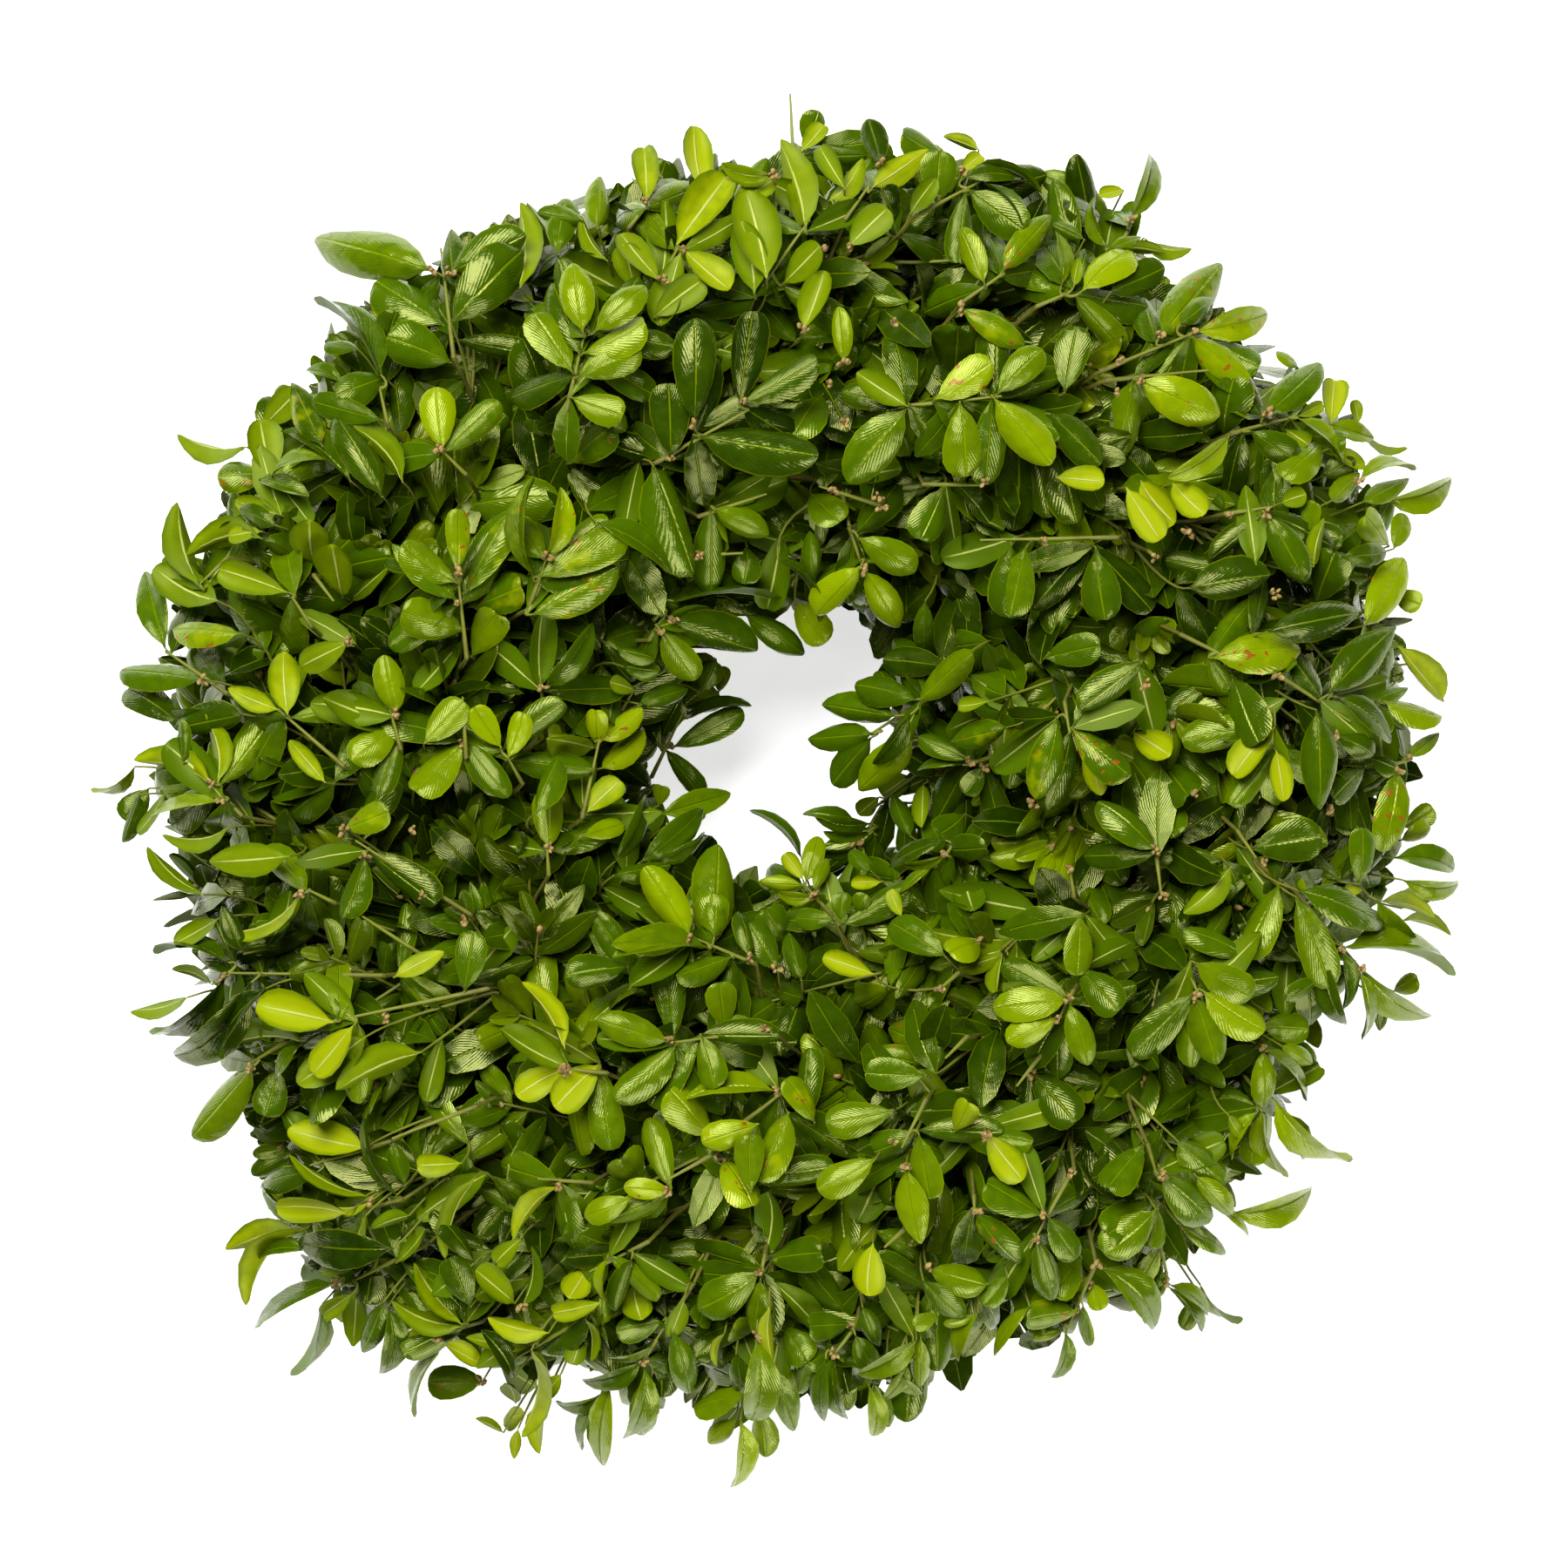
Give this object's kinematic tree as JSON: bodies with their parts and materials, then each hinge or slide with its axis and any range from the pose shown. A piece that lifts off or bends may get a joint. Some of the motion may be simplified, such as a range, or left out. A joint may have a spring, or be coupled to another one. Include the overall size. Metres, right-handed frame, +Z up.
{
  "type": "boxwood wreath",
  "caption": "Round boxwood wreath of leafy sprigs bound in overlapping bunches to a straw ring with one wire, lying on its flat back.",
  "frame": {"origin": "middle of the wreath's bounding box in plan, on the surface that its back rests on", "axes": "+Z up, out of the wreath's front; +Y towards the top of the wreath as it is seen from the front; +X to the right"},
  "size_m": [0.3642, 0.3722, 0.1012],
  "materials": {
    "boxwood_foliage": "waxy satin leaves, dark green above and yellow green below",
    "straw": "matt bound straw",
    "binding_wire": "dark green lacquer, satin"
  },
  "bodies": {
    "root": {"straw_ring": "straw", "binding_wire": "binding_wire", "outer_bunch_01": "boxwood_foliage", "outer_bunch_02": "boxwood_foliage", "outer_bunch_03": "boxwood_foliage", "outer_bunch_04": "boxwood_foliage", "outer_bunch_05": "boxwood_foliage", "outer_bunch_06": "boxwood_foliage", "outer_bunch_07": "boxwood_foliage", "outer_bunch_08": "boxwood_foliage", "outer_bunch_09": "boxwood_foliage", "outer_bunch_10": "boxwood_foliage", "outer_bunch_11": "boxwood_foliage", "outer_bunch_12": "boxwood_foliage", "top_bunch_01": "boxwood_foliage", "top_bunch_02": "boxwood_foliage", "top_bunch_03": "boxwood_foliage", "top_bunch_04": "boxwood_foliage", "top_bunch_05": "boxwood_foliage", "top_bunch_06": "boxwood_foliage", "top_bunch_07": "boxwood_foliage", "top_bunch_08": "boxwood_foliage", "top_bunch_09": "boxwood_foliage", "top_bunch_10": "boxwood_foliage", "top_bunch_11": "boxwood_foliage", "top_bunch_12": "boxwood_foliage", "inner_bunch_01": "boxwood_foliage", "inner_bunch_02": "boxwood_foliage", "inner_bunch_03": "boxwood_foliage", "inner_bunch_04": "boxwood_foliage", "inner_bunch_05": "boxwood_foliage", "inner_bunch_06": "boxwood_foliage"}
  },
  "joints": []
}
